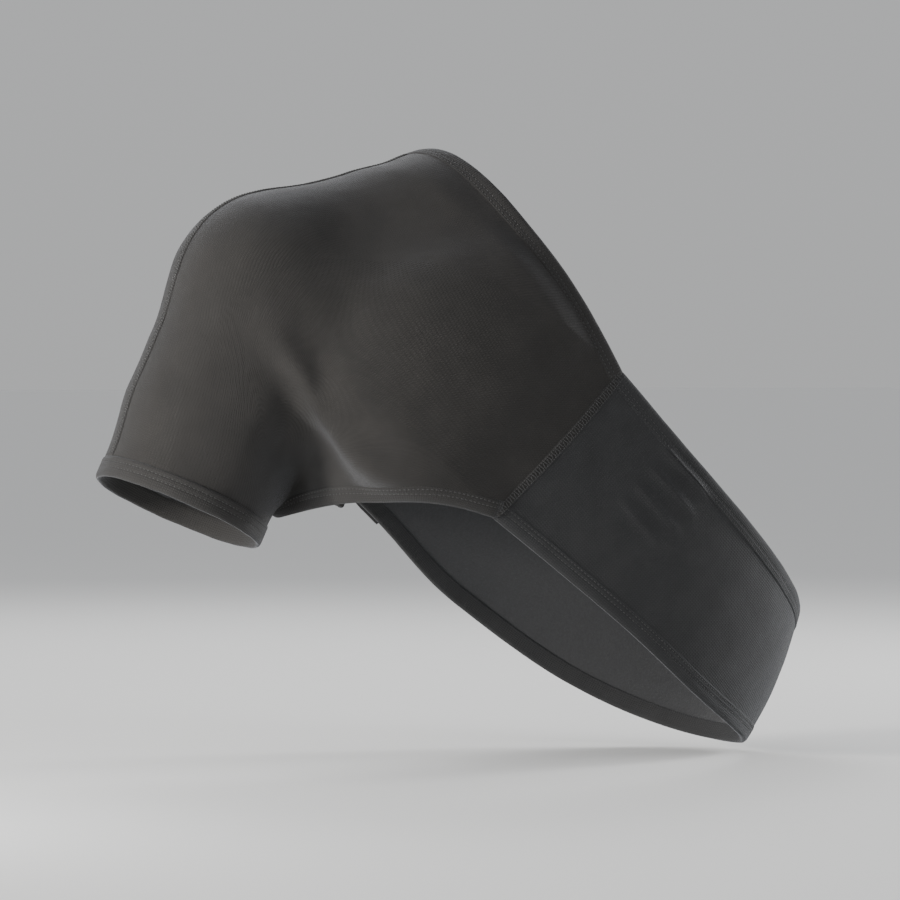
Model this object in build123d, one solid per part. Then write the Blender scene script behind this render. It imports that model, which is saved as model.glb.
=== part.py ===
"""Gel shoulder wrap in its worn shape, as separate sewn layers, packs, bindings and closure parts.

Millimetres. The origin is the wearer's left shoulder joint. +X points to the wearer's right,
+Y to the front and +Z up. Every layer is laid out on one body form, at its own height above it.
"""

import os

import numpy as np
from build123d import *

# ---- Body form -------------------------------------------------------------------------------
TORSO_CENTRE = np.array([175.0, 0.0, -110.0])
TORSO_RADII = np.array([165.0, 110.0, 214.0])
ARM_AXIS = np.array([-0.4226, 0.0, -0.9063])  # from the shoulder joint towards the elbow
ARM_ACROSS = np.array([-0.9063, 0.0, 0.4226])  # from the arm's axis to its outer side
ARM_RADIUS = 46.5
ARM_LENGTH = 260.0
SHOULDER_NECK_END = np.array([92.0, -4.0, 40.0])
SHOULDER_NECK_RADIUS = 37.0
SHOULDER_TIP = np.array([5.0, 0.0, 5.0])
SHOULDER_TIP_RADIUS = 46.0
SCAPULA_CENTRE = np.array([82.0, -67.0, -56.0])
SCAPULA_RADII = np.array([56.0, 26.0, 58.0])
CHEST_CENTRE = np.array([94.0, 63.0, -62.0])
CHEST_RADII = np.array([60.0, 30.0, 48.0])
ARM_BLEND = 24.0  # how widely the arm flows into the trunk in the armpit
BLADE_BLEND = 58.0  # and at the height of the shoulder blade
ARMPIT_TO_BLADE = (-104.0, -52.0)  # heights between which the one changes into the other
BLADE_TO_NECK = (-5.0, 50.0)

# ---- Edges of the wrap, for the back half; the front half mirrors them in Y ------------------
NECK_EDGE = [(97, 0, 87), (113, -42, 70), (131, -74, 38), (150, -95, 0), (171, -108, -41)]
UNDERARM_EDGE = [(92, -101, -120), (62, -93, -111), (36, -68, -110), (18, -36, -116), (10, 0, -122)]
STRAP_UPPER_EDGE = [(171, -108, -41), (214, -107, -87), (261, -95, -130), (313, -58, -172), (337, 0, -190)]
STRAP_LOWER_EDGE = [(92, -101, -120), (134, -108, -154), (181, -106, -190), (232, -92, -228), (303, 0, -264)]
ARMHOLE_CENTRE = np.array([-2.0, 0.0, -22.0])
ARMHOLE_RADII = (62.0, 74.0, 92.0)  # front to back, up, and down
NECK_CORNER_DEG = 55.0  # where the neck edge meets the strap seam, counted round the arm from the top
STRAP_CORNER_DEG = 100.0  # where the strap seam meets the underarm edge
HALF_ROWS = [0.6, 11.5, 22.4, 33.3, 44.1, 55, 60, 72, 83, 95, 100, 116, 132, 148, 164, 179.4]

# ---- Sleeve and cuff -------------------------------------------------------------------------
SLEEVE_END = 120.0  # along the arm, from the joint to where the cuff hem starts
CUFF_WIDTH = 12.0
CUFF_BORE_RADIUS = 47.0
CUFF_THICKNESS = 3.6

# ---- Layers, as heights above the body form --------------------------------------------------
LAYER_GAP = 0.3
BUTT_GAP = 0.4  # half of the gap between two pieces that meet edge to edge under a seam
LABEL = (0.05, 0.3)
LINING = (0.6, 1.5)
FILM = 0.3
FABRIC = 1.2
THIN_HEIGHT = 2.0  # underside of the outer fabric where there is no gel
GEL_SWELL = 4.0  # how much higher it is over the gel
SWELL_RAMP = 24.0
SWELL_TURNS = (100.0, 128.0)  # angles round the arm between which the swell dies out underneath
CUFF_MARGIN = 4.0  # no swell this close to the cuff
CORE_GAP = 0.1  # between a gel core and its films
BINDING_WIDTH = 10.0
BINDING_THICKNESS = 0.8
SEAM_WIDTH = 5.0
SEAM_THICKNESS = 0.7

# ---- Strap and closure -----------------------------------------------------------------------
STRAP_LENGTH = 560.0
STRAP_FABRIC = (1.8, 3.0)
SEAM_CLEAR = 3.4  # from the strap's ends to where its bindings start
STRAP_LIFT_START = 0.84  # share of the strap's length where it starts to rise to the closure
STRAP_END_INSET = 0.12  # share of its width that each edge loses by the closure
TAB_LENGTH = 92.0
TAB_TIP_ROUNDING = 0.22  # share of its length that the tab loses at the corners of its tip
TAB_ANGLES = (60.0, 95.0)
TAB_THICKNESS = 1.6
TAPE_THICKNESS = 1.0  # hook tape and loop tape
TAPE_INSET = 6.0
TAPE_GAP = 0.7  # between the hook tape and the loop tape
LOOP_RANGE = (13.0, 104.0)  # distance of the loop patch's ends from the front panel's end
HOOK_START = 15.0  # distance of the hook patch from the same end
FOLD_GAP = 0.6
LOOP_BASE = LAYER_GAP
HOOK_BASE = LOOP_BASE + TAPE_THICKNESS + TAPE_GAP
TAB_BASE = HOOK_BASE + TAPE_THICKNESS + LAYER_GAP
STRAP_LIFT = THIN_HEIGHT + FABRIC + TAB_BASE - STRAP_FABRIC[0]

OUT = "parts"


# ---- Geometry helpers ------------------------------------------------------------------------
def length(v):
    return np.linalg.norm(v, axis=-1)


def smoothstep(x, low, high):
    t = np.clip((x - low) / (high - low), 0.0, 1.0)
    return t * t * (3.0 - 2.0 * t)


def smooth_min(a, b, blend):
    h = np.maximum(blend - np.abs(a - b), 0.0) / blend
    return np.minimum(a, b) - h * h * blend / 4.0


def to_ellipsoid(p, centre, radii):
    q = p - centre
    near = length(q / radii)
    return near * (near - 1.0) / np.maximum(length(q / radii**2), 1e-9)


def to_capsule(p, start, end, start_radius, end_radius):
    along = end - start
    share = np.clip((p - start) @ along / (along @ along), 0.0, 1.0)
    nearest = start + share[..., None] * along
    return length(p - nearest) - (start_radius + (end_radius - start_radius) * share)


def blend_width(p):
    """How widely the arm and the shoulder flow into the trunk: narrow in the armpit, wide above it."""
    above = smoothstep(p[..., 2], *ARMPIT_TO_BLADE) * (1.0 - smoothstep(p[..., 2], *BLADE_TO_NECK))
    return ARM_BLEND + (BLADE_BLEND - ARM_BLEND) * above


def to_body(p):
    """How far points are above the body form."""
    trunk = to_ellipsoid(p, TORSO_CENTRE, TORSO_RADII)
    trunk = smooth_min(trunk, to_ellipsoid(p, SCAPULA_CENTRE, SCAPULA_RADII), BLADE_BLEND)
    trunk = smooth_min(trunk, to_ellipsoid(p, CHEST_CENTRE, CHEST_RADII), BLADE_BLEND)
    girdle = to_capsule(
        p, SHOULDER_NECK_END, SHOULDER_TIP, SHOULDER_NECK_RADIUS, SHOULDER_TIP_RADIUS
    )
    arm = to_capsule(p, np.zeros(3), ARM_AXIS * ARM_LENGTH, ARM_RADIUS, ARM_RADIUS)
    return smooth_min(trunk, smooth_min(girdle, arm, ARM_BLEND), blend_width(p))


def slope(p, step=0.5):
    """The gradient of to_body, which points straight out of the form."""
    axes = np.eye(3) * step
    return np.stack([(to_body(p + a) - to_body(p - a)) / (2 * step) for a in axes], axis=-1)


def settle(p):
    """Moves points onto the body form. Returns them with the form's outward normals."""
    for _ in range(24):
        g = slope(p)
        p = p - 0.8 * (to_body(p) / (g * g).sum(-1))[..., None] * g
    g = slope(p)
    return p, g / length(g)[..., None]


def curve(points, shares):
    """Points at those shares of the length of a smooth curve through the given points."""
    edge = Spline(*[Vector(*p) for p in points])
    return np.array([tuple(edge.position_at(float(s))) for s in shares]).reshape(-1, 3)


def mirrored(points):
    """A back edge continued to the front past its last point, which is where it turns."""
    return list(points) + [(x, -y, z) for x, y, z in reversed(points[:-1])]


def between(low, high, values):
    return (values - low) / (high - low)


# ---- Smooth sheets and the solids between them -----------------------------------------------
def cubic_weights(knots, corners=()):
    """A matrix that turns points at the knots into the control points of cubic pieces.

    The pieces join smoothly, except at the corners, which are indices of knots.
    """
    count = len(knots)
    weights = np.zeros((3 * count - 2, count))
    ends = sorted({0, count - 1, *corners})
    for first, last in zip(ends[:-1], ends[1:]):
        for i in range(first, last + 1):
            low = max(first, min(i - 1, last - 2))
            near = list(range(low, min(low + 3, last + 1)))
            rate = np.zeros(count)
            for a in near:
                others = [b for b in near if b != a]
                scale = np.prod([knots[a] - knots[b] for b in others])
                parts = [np.prod([knots[i] - knots[c] for c in others if c != b]) for b in others]
                rate[a] = sum(parts) / scale
            if i > first:
                weights[3 * i - 1] = -rate * (knots[i] - knots[i - 1]) / 3
                weights[3 * i - 1, i] += 1
            if i < last:
                weights[3 * i + 1] = rate * (knots[i + 1] - knots[i]) / 3
                weights[3 * i + 1, i] += 1
    for i in range(count):
        weights[3 * i, i] = 1
    return weights


def control_net(points, row_knots, column_knots, corners=()):
    """Control points of the smooth sheet through a grid. Every row has its own column knots."""
    along = np.stack([cubic_weights(k) @ row for k, row in zip(column_knots, points)])
    return np.einsum("ia,ajk->ijk", cubic_weights(row_knots, corners), along)


def control_face(points):
    return Face.make_bezier_surface([[Vector(*p) for p in row] for row in points])


def solid_between(low, high, rows=None, columns=None):
    """The closed solid between two control nets, or between the same block of their pieces."""
    row_range = rows or (0, (low.shape[0] - 1) // 3)
    column_range = columns or (0, (low.shape[1] - 1) // 3)
    faces = []
    for net in (low, high):
        for i in range(*row_range):
            for j in range(*column_range):
                faces.append(control_face(net[3 * i : 3 * i + 4, 3 * j : 3 * j + 4]))
    for i in range(*row_range):
        for j in column_range:
            faces.append(control_face(np.stack([n[3 * i : 3 * i + 4, 3 * j] for n in (low, high)])))
    for j in range(*column_range):
        for i in row_range:
            faces.append(control_face(np.stack([n[3 * i, 3 * j : 3 * j + 4] for n in (low, high)])))
    solid = Solid(Shell(faces))
    return solid if solid.volume > 0 else -solid


class Sheet:
    """A grid laid on the body form, from which layers are cut at any height above it."""

    def __init__(self, points, row_knots, column_knots, base, corners=()):
        self.points, self.normals = settle(points)
        self.row_knots = np.asarray(row_knots, float)
        self.column_knots = np.broadcast_to(column_knots, points.shape[:2])
        self.base = np.broadcast_to(base, points.shape[:2])
        self.corners = corners

    def net(self, height, from_base=False):
        lifted = height + self.base if from_base else height
        grid = self.points + self.normals * np.broadcast_to(lifted, self.base.shape)[..., None]
        return control_net(grid, self.row_knots, self.column_knots, self.corners)

    def layer(self, low, high, rows=None, columns=None, from_base=False):
        return solid_between(self.net(low, from_base), self.net(high, from_base), rows, columns)

    def place(self, net, row_value, column_value):
        """A point of a control net, for a row knot value and a column knot value."""
        i = int(np.clip(np.searchsorted(self.row_knots, row_value) - 1, 0, len(self.row_knots) - 2))
        u = between(self.row_knots[i], self.row_knots[i + 1], row_value)
        knots = (1 - u) * self.column_knots[i] + u * self.column_knots[i + 1]
        j = int(np.clip(np.searchsorted(knots, column_value) - 1, 0, len(knots) - 2))
        v = between(knots[j], knots[j + 1], column_value)
        piece = net[3 * i : 3 * i + 4, 3 * j : 3 * j + 4]
        return np.einsum("i,ijk,j->k", cubic_shares(u), piece, cubic_shares(v))

    def relaid(self, row_values, column_values, low, high):
        """A layer above the base that covers any part of the sheet: one list of columns a row."""
        nets = []
        for height in (low, high):
            net = self.net(height, from_base=True)
            grid = [[self.place(net, r, c) for c in row] for r, row in zip(row_values, column_values)]
            knots = np.arange(len(column_values[0]), dtype=float)
            nets.append(control_net(np.array(grid), row_values, [knots] * len(row_values)))
        return solid_between(*nets)


def cubic_shares(t):
    return np.array([(1 - t) ** 3, 3 * t * (1 - t) ** 2, 3 * t * t * (1 - t), t**3])


def ribbon(line, half_width, low, high):
    """A strip along a line on the form, with its normals taken from the form."""
    line, normals = settle(line)
    across = np.cross(np.gradient(line, axis=0), normals)
    across = across / length(across)[:, None] * half_width
    grid, normals = settle(np.stack([line - across, line, line + across], axis=1))
    at = np.concatenate([[0.0], np.cumsum(length(np.diff(line, axis=0)))])
    heights = [np.broadcast_to(np.asarray(h, float), len(line))[:, None, None] for h in (low, high)]
    knots = np.broadcast_to([-half_width, 0.0, half_width], (len(line), 3))
    return solid_between(*[control_net(grid + normals * h, at, knots) for h in heights])


# ---- Shoulder panels -------------------------------------------------------------------------
def outer_edge(angles):
    """Points of the wrap's outer edge at angles round the arm: 0 is the top, 90 the back."""
    angles = (np.asarray(angles, float) + 180.0) % 360.0 - 180.0
    turn = np.abs(angles)
    points = np.zeros((len(angles), 3))
    neck = turn <= NECK_CORNER_DEG
    under = turn > STRAP_CORNER_DEG
    seam = ~neck & ~under
    points[neck] = curve(NECK_EDGE, turn[neck] / NECK_CORNER_DEG)
    points[under] = curve(UNDERARM_EDGE, between(STRAP_CORNER_DEG, 180.0, turn[under]))
    share = between(NECK_CORNER_DEG, STRAP_CORNER_DEG, turn[seam])[:, None]
    points[seam] = (1 - share) * np.array(NECK_EDGE[-1]) + share * np.array(UNDERARM_EDGE[0])
    points[:, 1] *= np.where(angles < 0, -1.0, 1.0)
    return points


def meridians(angles, samples=64):
    """Lines over the form from the cuff, over the armhole, to the outer edge: one row an angle."""
    a = np.radians(angles)[:, None]
    back = np.array([0.0, -1.0, 0.0])
    cuff = SLEEVE_END * ARM_AXIS + ARM_RADIUS * (np.cos(a) * ARM_ACROSS + np.sin(a) * back)
    armhole = ARMHOLE_CENTRE + ARMHOLE_RADII[0] * np.sin(a) * back
    upright = np.where(np.cos(a) > 0, ARMHOLE_RADII[1], ARMHOLE_RADII[2])
    armhole = armhole + upright * np.cos(a) * np.array([0.0, 0.0, 1.0])
    edge = outer_edge(angles)
    pull = 2.0 * armhole - 0.5 * (cuff + edge)
    t = np.linspace(0.0, 1.0, samples)[None, :, None]
    seeds = (1 - t) ** 2 * cuff[:, None] + 2 * t * (1 - t) * pull[:, None] + t**2 * edge[:, None]
    return settle(seeds)[0]


def column_places(total):
    """Distances from the outer edge where the grid's lines cross a meridian of that length."""
    inner = BINDING_WIDTH + 0.1 * (total - 2 * BINDING_WIDTH)
    middle = np.linspace(inner, total - inner, 5)
    return np.array([BUTT_GAP, BINDING_WIDTH, *middle, total - BINDING_WIDTH, total - BUTT_GAP])


def fabric_height(angle, cuff_distance, edge_distance):
    """The height of the outer fabric's underside, which swells over the gel packs."""
    turn = abs((angle + 180.0) % 360.0 - 180.0)
    swell = smoothstep(edge_distance, BINDING_WIDTH, BINDING_WIDTH + SWELL_RAMP)
    swell = swell * smoothstep(cuff_distance, CUFF_MARGIN, CUFF_MARGIN + SWELL_RAMP)
    return THIN_HEIGHT + GEL_SWELL * swell * (1.0 - smoothstep(turn, *SWELL_TURNS))


def shoulder_sheet(angles, corners):
    """The grid over the shoulder panels. Its columns count from the outer edge to the cuff."""
    points, places, base = [], [], []
    for angle, line in zip(angles, meridians(np.asarray(angles, float))):
        at = np.concatenate([[0.0], np.cumsum(length(np.diff(line, axis=0)))])
        out = column_places(at[-1])
        points.append(np.stack([np.interp(at[-1] - out, at, line[:, k]) for k in range(3)], axis=-1))
        places.append(out)
        base.append(fabric_height(angle, at[-1] - out, out))
    return Sheet(np.array(points), angles, np.array(places), np.array(base), corners)


def corner_rows(angles):
    turns = [abs((a + 180.0) % 360.0 - 180.0) for a in angles]
    return [i for i, t in enumerate(turns) if t in (NECK_CORNER_DEG, STRAP_CORNER_DEG)]


def build_shoulder():
    angles = [-a for a in reversed(HALF_ROWS)] + [0.0] + HALF_ROWS
    sheet = shoulder_sheet(angles, corner_rows(angles))
    under_angles = [a for a in HALF_ROWS if a >= STRAP_CORNER_DEG]
    under_angles = under_angles + [180.0] + [360.0 - a for a in reversed(under_angles)]
    under = shoulder_sheet(under_angles, corner_rows(under_angles))

    def row(angle):
        return angles.index(angle)

    back = (row(0.6), row(179.4))
    front = (row(-179.4), row(-0.6))
    last = len(sheet.column_knots[0]) - 1
    parts = {}
    for side, rows in (("back", back), ("front", front)):
        parts[side + "_panel"] = sheet.layer(0.0, FABRIC, rows, from_base=True)
        parts[side + "_lining"] = sheet.layer(*LINING, rows)
    inner = (LINING[1] + LAYER_GAP, LINING[1] + LAYER_GAP + FILM)
    inner_net = sheet.net(inner[1] + CORE_GAP)
    outer_net = sheet.net(-LAYER_GAP - FILM - CORE_GAP, from_base=True)
    packs = {
        "shoulder_gel": (row(-44.1), row(44.1)),
        "scapula_gel": (row(55), row(100)),
        "chest_gel": (row(-100), row(-55)),
    }
    columns = (2, last - 2)
    for name, rows in packs.items():
        parts[name + "_film_inner"] = sheet.layer(*inner, rows, columns)
        parts[name + "_core"] = solid_between(inner_net, outer_net, rows, columns)
        parts[name + "_film_outer"] = sheet.layer(
            -LAYER_GAP - FILM, -LAYER_GAP, rows, columns, from_base=True
        )
    over = (FABRIC + LAYER_GAP, FABRIC + LAYER_GAP + BINDING_THICKNESS)
    edge = (0, 1)
    parts["neck_binding"] = sheet.layer(*over, (row(-55), row(55)), edge, from_base=True)
    parts["front_end_binding"] = sheet.layer(*over, (row(-95), row(-60)), edge, from_base=True)
    parts["underarm_binding"] = under.layer(*over, (0, len(under_angles) - 1), edge, from_base=True)
    parts["care_label"] = sheet.layer(*LABEL, (row(72), row(83)), (3, 4))
    for name, grid, angle in (("top_seam", sheet, 0.0), ("underarm_seam", under, 180.0)):
        i = list(grid.row_knots).index(angle)
        knots = grid.column_knots[i]
        start = BINDING_WIDTH + 2 * BUTT_GAP
        places = np.concatenate([[start], knots[knots > start + BUTT_GAP]])
        line = np.stack([np.interp(places, knots, grid.points[i][:, k]) for k in range(3)], axis=-1)
        height = np.interp(places, knots, grid.base[i]) + FABRIC + LAYER_GAP
        parts[name] = ribbon(line, SEAM_WIDTH / 2, height, height + SEAM_THICKNESS)
    return sheet, parts


# ---- Strap -----------------------------------------------------------------------------------
def build_strap():
    upper_points = mirrored(STRAP_UPPER_EDGE)
    lower_points = mirrored(STRAP_LOWER_EDGE)
    clear = SEAM_CLEAR / STRAP_LENGTH
    middle = np.concatenate([np.linspace(0.05, 0.85, 13), [0.9, 0.95]])
    shares = np.concatenate([[BUTT_GAP / STRAP_LENGTH, clear], middle, [1.0 - clear, 1.0]])
    upper = curve(upper_points, shares)
    lower = curve(lower_points, shares)
    rising = smoothstep(shares, STRAP_LIFT_START, 1.0)
    points, places = [], []
    for share, rise, top, bottom in zip(shares, rising, upper, lower):
        ends = np.array([STRAP_END_INSET * rise, 1.0 - STRAP_END_INSET * rise])
        width = length(bottom - top) * (ends[1] - ends[0])
        inner = np.linspace(BINDING_WIDTH, width - BINDING_WIDTH, 4)
        out = np.array([0.0, *inner, width])
        across = ends[0] + (ends[1] - ends[0]) * out / width
        points.append(top + across[:, None] * (bottom - top))
        places.append(out)
    base = np.repeat((STRAP_LIFT * rising)[:, None], 6, axis=1)
    sheet = Sheet(np.array(points), shares * STRAP_LENGTH, np.array(places), base)
    whole = (0, len(shares) - 1)
    inside = (1, len(shares) - 2)
    over = (STRAP_FABRIC[1] + LAYER_GAP, STRAP_FABRIC[1] + LAYER_GAP + BINDING_THICKNESS)
    parts = {
        "strap_outer": sheet.layer(*STRAP_FABRIC, whole, from_base=True),
        "strap_lining": sheet.layer(*LINING, whole, from_base=True),
        "strap_upper_binding": sheet.layer(*over, inside, (0, 1), from_base=True),
        "strap_lower_binding": sheet.layer(*over, inside, (4, 5), from_base=True),
    }
    seam_line = np.array(NECK_EDGE[-1]) + np.linspace(0.05, 0.95, 5)[:, None] * (
        np.array(UNDERARM_EDGE[0], float) - np.array(NECK_EDGE[-1], float)
    )
    seam_low = THIN_HEIGHT + FABRIC + LAYER_GAP
    parts["strap_seam"] = ribbon(seam_line, SEAM_WIDTH / 2, seam_low, seam_low + SEAM_THICKNESS)
    return parts


# ---- Closure ---------------------------------------------------------------------------------
def tab_columns(start, reach, inset=0.0, count=9):
    """Row angles and distances from the edge for a patch with a rounded far end."""
    low, high = TAB_ANGLES
    turn = inset * (high - low) / 90.0
    angles = np.linspace(-high + turn, -low - turn, 8)
    middle, half = -(low + high) / 2, (high - low) / 2 - turn
    ends = reach * (1.0 - TAB_TIP_ROUNDING * (np.abs(angles - middle) / half) ** 4)
    return angles, [np.linspace(start, end, count) for end in ends]


def build_closure(sheet):
    low = FABRIC + TAB_BASE
    parts = {"closure_tab": sheet.relaid(*tab_columns(FOLD_GAP, TAB_LENGTH), low, low + TAB_THICKNESS)}
    low = FABRIC + HOOK_BASE
    hook = tab_columns(HOOK_START, TAB_LENGTH - TAPE_INSET, TAPE_INSET)
    parts["hook_patch"] = sheet.relaid(*hook, low, low + TAPE_THICKNESS)
    low = FABRIC + LOOP_BASE
    loop_angles = np.linspace(-TAB_ANGLES[1], -TAB_ANGLES[0], 8)
    loop_columns = [np.linspace(*LOOP_RANGE, 10)] * len(loop_angles)
    parts["loop_patch"] = sheet.relaid(loop_angles, loop_columns, low, low + TAPE_THICKNESS)
    return parts


# ---- Cuff ------------------------------------------------------------------------------------
def build_cuff():
    start = Vector(*(ARM_AXIS * SLEEVE_END))
    plane = Plane(origin=start, z_dir=Vector(*ARM_AXIS))
    ring = Circle(CUFF_BORE_RADIUS + CUFF_THICKNESS) - Circle(CUFF_BORE_RADIUS)
    return {"cuff_hem": extrude(plane * ring, CUFF_WIDTH)}


if __name__ == "__main__":
    shoulder, nodes = build_shoulder()
    nodes.update(build_strap())
    nodes.update(build_closure(shoulder))
    nodes.update(build_cuff())
    os.makedirs(OUT, exist_ok=True)
    for name, solid in nodes.items():
        solid.label = name
        export_step(solid, os.path.join(OUT, name + ".step"))
        print(name, solid.is_valid, round(solid.volume), solid.bounding_box().size)
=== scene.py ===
"""Gel shoulder wrap in its worn shape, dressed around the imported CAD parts.

The form and the outlines are those of the CAD part, in millimetres; every mesh is made in metres.
"""

import math

import bpy
import numpy as np
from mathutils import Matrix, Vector


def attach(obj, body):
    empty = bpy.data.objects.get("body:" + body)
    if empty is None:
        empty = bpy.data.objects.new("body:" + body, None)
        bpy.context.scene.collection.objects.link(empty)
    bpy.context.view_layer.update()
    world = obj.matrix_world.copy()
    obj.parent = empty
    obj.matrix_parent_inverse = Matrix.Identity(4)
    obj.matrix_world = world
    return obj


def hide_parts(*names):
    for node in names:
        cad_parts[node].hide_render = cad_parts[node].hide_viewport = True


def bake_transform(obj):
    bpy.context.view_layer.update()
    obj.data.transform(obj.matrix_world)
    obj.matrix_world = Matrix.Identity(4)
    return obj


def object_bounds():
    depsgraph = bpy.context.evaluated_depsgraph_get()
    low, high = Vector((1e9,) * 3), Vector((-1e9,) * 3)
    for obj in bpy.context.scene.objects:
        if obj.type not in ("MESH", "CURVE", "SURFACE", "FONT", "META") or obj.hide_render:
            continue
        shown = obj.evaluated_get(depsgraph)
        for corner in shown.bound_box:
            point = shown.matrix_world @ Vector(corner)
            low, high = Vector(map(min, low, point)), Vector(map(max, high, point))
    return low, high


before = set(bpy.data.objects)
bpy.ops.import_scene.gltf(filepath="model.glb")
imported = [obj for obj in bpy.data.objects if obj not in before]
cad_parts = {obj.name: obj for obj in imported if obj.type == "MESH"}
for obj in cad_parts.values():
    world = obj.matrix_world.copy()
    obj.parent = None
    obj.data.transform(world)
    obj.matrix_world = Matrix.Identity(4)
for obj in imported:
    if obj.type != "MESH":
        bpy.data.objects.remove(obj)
cad_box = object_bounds()

MM = 0.001

# ---- Body form, as in the CAD part (mm)
TORSO = (np.array([175.0, 0.0, -110.0]), np.array([165.0, 110.0, 214.0]))
SCAPULA = (np.array([82.0, -67.0, -56.0]), np.array([56.0, 26.0, 58.0]))
CHEST = (np.array([94.0, 63.0, -62.0]), np.array([60.0, 30.0, 48.0]))
ARM_AXIS = np.array([-0.4226, 0.0, -0.9063])
ARM_ACROSS = np.array([-0.9063, 0.0, 0.4226])
ARM_RADIUS = 46.5
ARM_LENGTH = 260.0
GIRDLE = (np.array([92.0, -4.0, 40.0]), np.array([5.0, 0.0, 5.0]), 37.0, 46.0)
ARM_BLEND = 24.0
BLADE_BLEND = 58.0
ARMPIT_TO_BLADE = (-104.0, -52.0)
BLADE_TO_NECK = (-5.0, 50.0)

NECK_EDGE = [(97, 0, 87), (113, -42, 70), (131, -74, 38), (150, -95, 0), (171, -108, -41)]
UNDERARM_EDGE = [(92, -101, -120), (62, -93, -111), (36, -68, -110), (18, -36, -116), (10, 0, -122)]
STRAP_UPPER = [(171, -108, -41), (214, -107, -87), (261, -95, -130), (313, -58, -172), (337, 0, -190)]
STRAP_LOWER = [(92, -101, -120), (134, -108, -154), (181, -106, -190), (232, -92, -228), (303, 0, -264)]
ARMHOLE_CENTRE = np.array([-2.0, 0.0, -22.0])
ARMHOLE_RADII = (62.0, 74.0, 92.0)
NECK_CORNER = 55.0
STRAP_CORNER = 100.0
SLEEVE_END = 120.0
BACK = np.array([0.0, -1.0, 0.0])
UP = np.array([0.0, 0.0, 1.0])

# ---- Layers, as heights above the form (mm)
LINING = (0.6, 1.5)
FABRIC = 1.2
THIN = 2.0
GEL_SWELL = 4.0
SWELL_RAMP = 40.0
SWELL_TURNS = (100.0, 128.0)  # angles round the arm between which the swell dies out underneath
CUFF_MARGIN = 4.0
HEM = 10.0
STRAP_FABRIC = (1.8, 3.0)
STRAP_LIFT = 4.7
STRAP_LIFT_START = 0.84
STRAP_END_INSET = 0.12
TAB_LENGTH = 92.0
TAB_TIP_ROUNDING = 0.22
TAB_ANGLES = (60.0, 95.0)
TAB_BASE = 3.3
TAB_THICKNESS = 1.6
TAPE = 1.0
TAPE_INSET = 6.0
HOOK_BASE = 2.0
LOOP_RANGE = (13.0, 104.0)
HOOK_START = 15.0


# ---- Form
def length(v):
    return np.linalg.norm(v, axis=-1)


def unit(v):
    return v / length(v)[..., None]


def smoothstep(x, low, high):
    t = np.clip((x - low) / (high - low), 0.0, 1.0)
    return t * t * (3.0 - 2.0 * t)


def smooth_min(a, b, blend):
    h = np.maximum(blend - np.abs(a - b), 0.0) / blend
    return np.minimum(a, b) - h * h * blend / 4.0


def to_ellipsoid(p, centre, radii):
    q = p - centre
    near = length(q / radii)
    return near * (near - 1.0) / np.maximum(length(q / radii**2), 1e-9)


def to_capsule(p, start, end, start_radius, end_radius):
    along = end - start
    share = np.clip((p - start) @ along / (along @ along), 0.0, 1.0)
    radius = start_radius + (end_radius - start_radius) * share
    return length(p - (start + share[..., None] * along)) - radius


def to_body(p):
    trunk = to_ellipsoid(p, *TORSO)
    trunk = smooth_min(trunk, to_ellipsoid(p, *SCAPULA), BLADE_BLEND)
    trunk = smooth_min(trunk, to_ellipsoid(p, *CHEST), BLADE_BLEND)
    arm = to_capsule(p, np.zeros(3), ARM_AXIS * ARM_LENGTH, ARM_RADIUS, ARM_RADIUS)
    limb = smooth_min(to_capsule(p, *GIRDLE), arm, ARM_BLEND)
    above = smoothstep(p[..., 2], *ARMPIT_TO_BLADE) * (1.0 - smoothstep(p[..., 2], *BLADE_TO_NECK))
    return smooth_min(trunk, limb, ARM_BLEND + (BLADE_BLEND - ARM_BLEND) * above)


def slope(p, step=0.5):
    axes = np.eye(3) * step
    return np.stack([(to_body(p + a) - to_body(p - a)) / (2 * step) for a in axes], axis=-1)


def settle(p, rounds=16):
    """Points moved onto the body form, and the form's outward normals there."""
    for _ in range(rounds):
        g = slope(p)
        p = p - 0.85 * (to_body(p) / (g * g).sum(-1))[..., None] * g
    return p, unit(slope(p))


def arc_lengths(points):
    return np.concatenate([[0.0], np.cumsum(length(np.diff(points, axis=0)))])


def grid_lengths(points):
    """Distances down the rows and along the columns of a grid of points, from its first ones."""
    rows, columns = points.shape[:2]
    down = np.concatenate([np.zeros((1, columns)), length(np.diff(points, axis=0))])
    along = np.concatenate([np.zeros((rows, 1)), length(np.diff(points, axis=1))], axis=1)
    return np.cumsum(down, axis=0), np.cumsum(along, axis=1)


def resample(points, at, places):
    return np.stack([np.interp(places, at, points[:, k]) for k in range(3)], axis=-1)


def curve(points, shares):
    """Points at those shares of the length of a smooth curve through the given points."""
    p = np.array(points, float)
    knots = arc_lengths(p)
    n = len(p)
    gaps = np.diff(knots)
    m = np.zeros((n, n))
    right = np.zeros((n, 3))
    m[0, 0] = m[-1, -1] = 1.0
    for i in range(1, n - 1):
        m[i, i - 1 : i + 2] = gaps[i - 1], 2 * (gaps[i - 1] + gaps[i]), gaps[i]
        right[i] = 6 * ((p[i + 1] - p[i]) / gaps[i] - (p[i] - p[i - 1]) / gaps[i - 1])
    bend = np.linalg.solve(m, right)
    dense = np.linspace(0.0, knots[-1], 400)
    i = np.clip(np.searchsorted(knots, dense) - 1, 0, n - 2)
    g, a, b = gaps[i][:, None], (knots[i + 1] - dense)[:, None], (dense - knots[i])[:, None]
    line = (bend[i] * a**3 + bend[i + 1] * b**3) / (6 * g)
    line = line + (p[i] / g - bend[i] * g / 6) * a + (p[i + 1] / g - bend[i + 1] * g / 6) * b
    at = arc_lengths(line)
    return resample(line, at, np.asarray(shares, float) * at[-1])


def mirrored(points):
    return list(points) + [(x, -y, z) for x, y, z in reversed(points[:-1])]


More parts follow.
